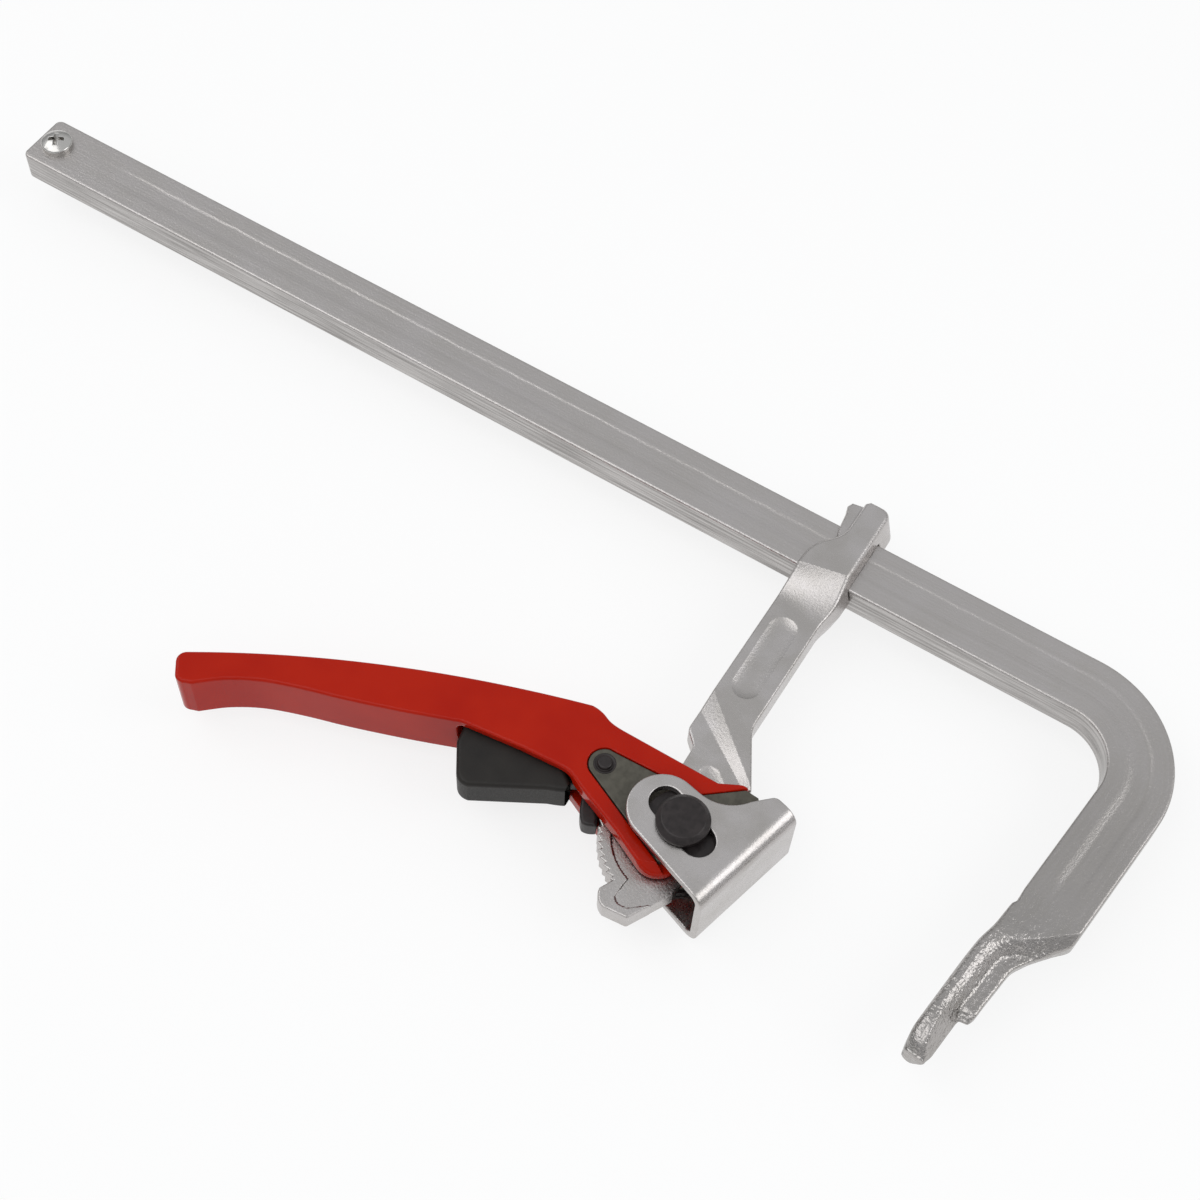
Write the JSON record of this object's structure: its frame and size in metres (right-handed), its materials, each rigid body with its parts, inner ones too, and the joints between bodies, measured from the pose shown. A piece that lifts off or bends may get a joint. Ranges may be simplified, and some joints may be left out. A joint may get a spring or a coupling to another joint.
{
  "type": "ratchet lever clamp",
  "caption": "Sliding-arm clamp: a bent steel rail with a fixed jaw, and an arm whose red lever drives a cam and ratchet to push a swivelling pressure bracket.",
  "frame": {"origin": "middle of the fixed jaw's clamping face, on the clamp's mid plane", "axes": "+X along the rail towards its bend, +Y from the jaws towards the rail, +Z square to the clamp's flat side"},
  "size_m": [0.5013, 0.1906, 0.04],
  "materials": {
    "plated_steel": "satin plated",
    "zinc_screw": "bright zinc",
    "red_paint": "gloss enamel",
    "dark_steel": "phosphated",
    "black_oxide": "black oxide",
    "black_plastic": "moulded, satin",
    "spring_steel": "plain"
  },
  "bodies": {
    "rail": {"rail": "plated_steel", "stop_screw": "zinc_screw"},
    "sliding_arm": {"sliding_arm": "plated_steel", "pivot_pin": "black_oxide", "pivot_pin_cap": "black_oxide", "spacer_washer_upper": "black_oxide", "spacer_washer_lower": "black_oxide"},
    "slot_sleeves": {"slot_sleeve_upper": "black_oxide", "slot_sleeve_lower": "black_oxide"},
    "bracket": {"pressure_bracket": "plated_steel"},
    "lever": {"handle": "red_paint", "cam_plate_upper": "dark_steel", "cam_plate_lower": "dark_steel", "pawl_pin": "black_oxide", "trigger_spring": "spring_steel"},
    "trigger": {"pawl": "black_oxide", "trigger": "black_plastic", "trigger_pin": "black_oxide"}
  },
  "joints": [
    {"name": "arm_slide", "type": "slide", "parent": "rail", "child": "sliding_arm", "axis": [1, 0, 0], "range_m": [-0.335, 0.06]},
    {"name": "lever_pivot", "type": "hinge", "parent": "sliding_arm", "child": "lever", "pos_m": [-0.0946, 0.0045, 0], "axis": [0, 0, 1], "range_deg": [-28, 18]},
    {"name": "bracket_tilt", "type": "hinge", "parent": "sliding_arm", "child": "slot_sleeves", "pos_m": [-0.0946, 0.0045, 0], "axis": [0, 0, 1], "range_deg": [-6, 12]},
    {"name": "bracket_slide", "type": "slide", "parent": "slot_sleeves", "child": "bracket", "axis": [0.9304, -0.3665, 0], "range_m": [-0.0026, 0.004]},
    {"name": "trigger_pivot", "type": "hinge", "parent": "lever", "child": "trigger", "pos_m": [-0.12801, 0.0113, 0], "axis": [0, 0, 1], "range_deg": [-7, 0], "stiffness_Nm_per_rad": 0.4, "springref_deg": 20.05, "deforming": ["trigger_spring"]}
  ],
  "couplings": [
    {"joint": "bracket_slide", "follows": "lever_pivot", "m_per_rad": -0.008}
  ]
}
